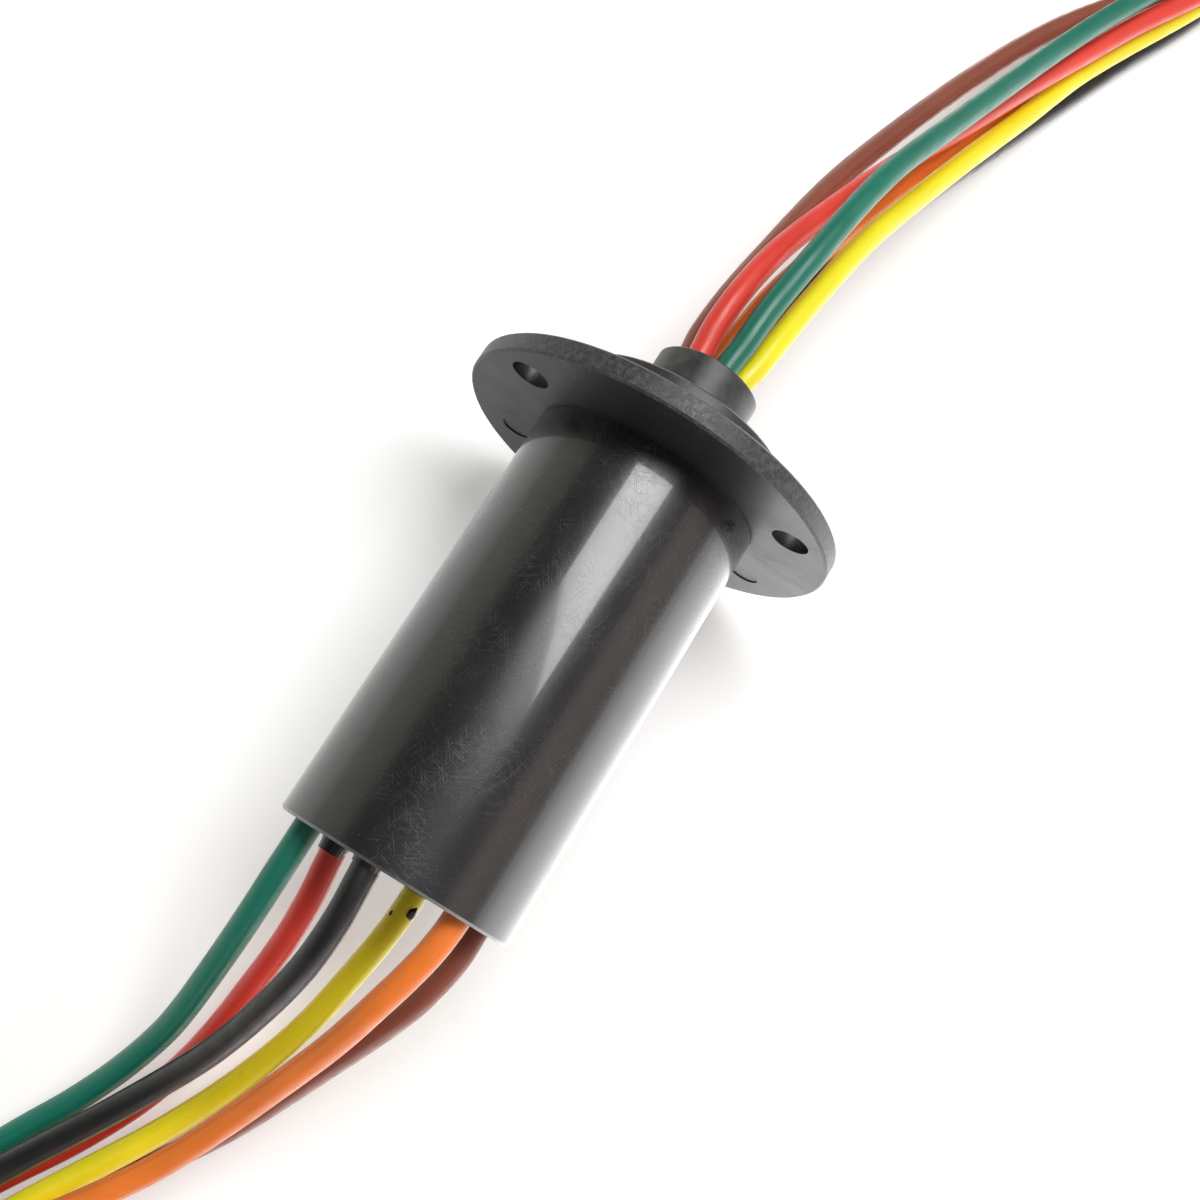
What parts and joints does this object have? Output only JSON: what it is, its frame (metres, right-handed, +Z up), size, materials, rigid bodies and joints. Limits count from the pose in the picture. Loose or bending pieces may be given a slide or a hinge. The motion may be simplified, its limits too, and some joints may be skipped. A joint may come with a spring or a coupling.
{
  "type": "capsule slip ring",
  "caption": "Capsule slip ring: a black barrel with a round three-hole flange, a turning spigot, and insulated leads at both ends that carry circuits across the rotation.",
  "frame": {"origin": "on the rotation axis, in the flange face that seats on a panel", "axes": "+X along the rotation axis from the barrel to the turning spigot; +Z up, with the flange's rim on the ground plane below and two mounting holes above the axis; +Y to the left when looking along +X"},
  "size_m": [0.318, 0.0625, 0.045],
  "materials": {
    "housing_moulding": "glossy black moulding with fine scratches",
    "cap_plastic": "plain black moulding",
    "casting_resin": "dark cast resin",
    "bearing_steel": "ground steel",
    "ball_steel": "polished steel",
    "cage_brass": "plain brass",
    "spring_steel": "spring steel",
    "sleeve_plastic": "turned dark engineering plastic",
    "nut_aluminium": "turned aluminium",
    "board_laminate": "green circuit-board laminate",
    "tinned_wire": "tinned copper",
    "contact_gold": "gold-plated brass",
    "barrier_plastic": "cream insulating plastic",
    "brush_gold": "gold alloy spring wire on a brass foot",
    "coil_leads": "stands for six insulated leads wound together",
    "strap_plastic": "black nylon strap",
    "insulation_green": "semi-gloss green insulation",
    "insulation_black": "semi-gloss black insulation",
    "insulation_orange": "semi-gloss orange insulation",
    "insulation_brown": "semi-gloss brown insulation",
    "insulation_yellow": "semi-gloss yellow insulation",
    "insulation_red": "semi-gloss red insulation"
  },
  "bodies": {
    "stator": {"housing": "housing_moulding", "end_cap": "cap_plastic", "end_resin": "casting_resin", "front_bearing_outer_race": "bearing_steel", "front_bearing_balls": "ball_steel", "front_bearing_cage": "cage_brass", "rear_bearing_outer_race": "bearing_steel", "rear_bearing_balls": "ball_steel", "rear_bearing_cage": "cage_brass", "preload_washer": "spring_steel", "brush_board_left": "board_laminate", "brush_board_right": "board_laminate", "brush_1": "brush_gold", "brush_2": "brush_gold", "brush_3": "brush_gold", "brush_4": "brush_gold", "brush_5": "brush_gold", "brush_6": "brush_gold", "stator_jumpers": "tinned_wire", "stator_lead_green": "insulation_green", "stator_lead_black": "insulation_black", "stator_lead_orange": "insulation_orange", "stator_lead_brown": "insulation_brown", "stator_lead_yellow": "insulation_yellow", "stator_lead_red": "insulation_red", "stator_coil": "coil_leads", "stator_strap": "strap_plastic", "stator_tips": "tinned_wire"},
    "rotor": {"front_bearing_inner_race": "bearing_steel", "rear_bearing_inner_race": "bearing_steel", "rotor_sleeve": "sleeve_plastic", "bearing_spacer": "cage_brass", "rotor_circlip": "spring_steel", "stack_nut": "nut_aluminium", "ring_1": "contact_gold", "ring_2": "contact_gold", "ring_3": "contact_gold", "ring_4": "contact_gold", "ring_5": "contact_gold", "ring_6": "contact_gold", "barrier_1": "barrier_plastic", "barrier_2": "barrier_plastic", "barrier_3": "barrier_plastic", "barrier_4": "barrier_plastic", "barrier_5": "barrier_plastic", "barrier_6": "barrier_plastic", "barrier_7": "barrier_plastic", "rotor_jumpers": "tinned_wire", "spigot_resin": "casting_resin", "rotor_lead_red": "insulation_red", "rotor_lead_green": "insulation_green", "rotor_lead_yellow": "insulation_yellow", "rotor_lead_black": "insulation_black", "rotor_lead_orange": "insulation_orange", "rotor_lead_brown": "insulation_brown", "rotor_coil": "coil_leads", "rotor_strap": "strap_plastic", "rotor_tips": "tinned_wire"}
  },
  "joints": [
    {"name": "rotor_spin", "type": "hinge", "parent": "stator", "child": "rotor", "pos_m": [0, 0, 0], "axis": [1, 0, 0], "continuous": true}
  ]
}
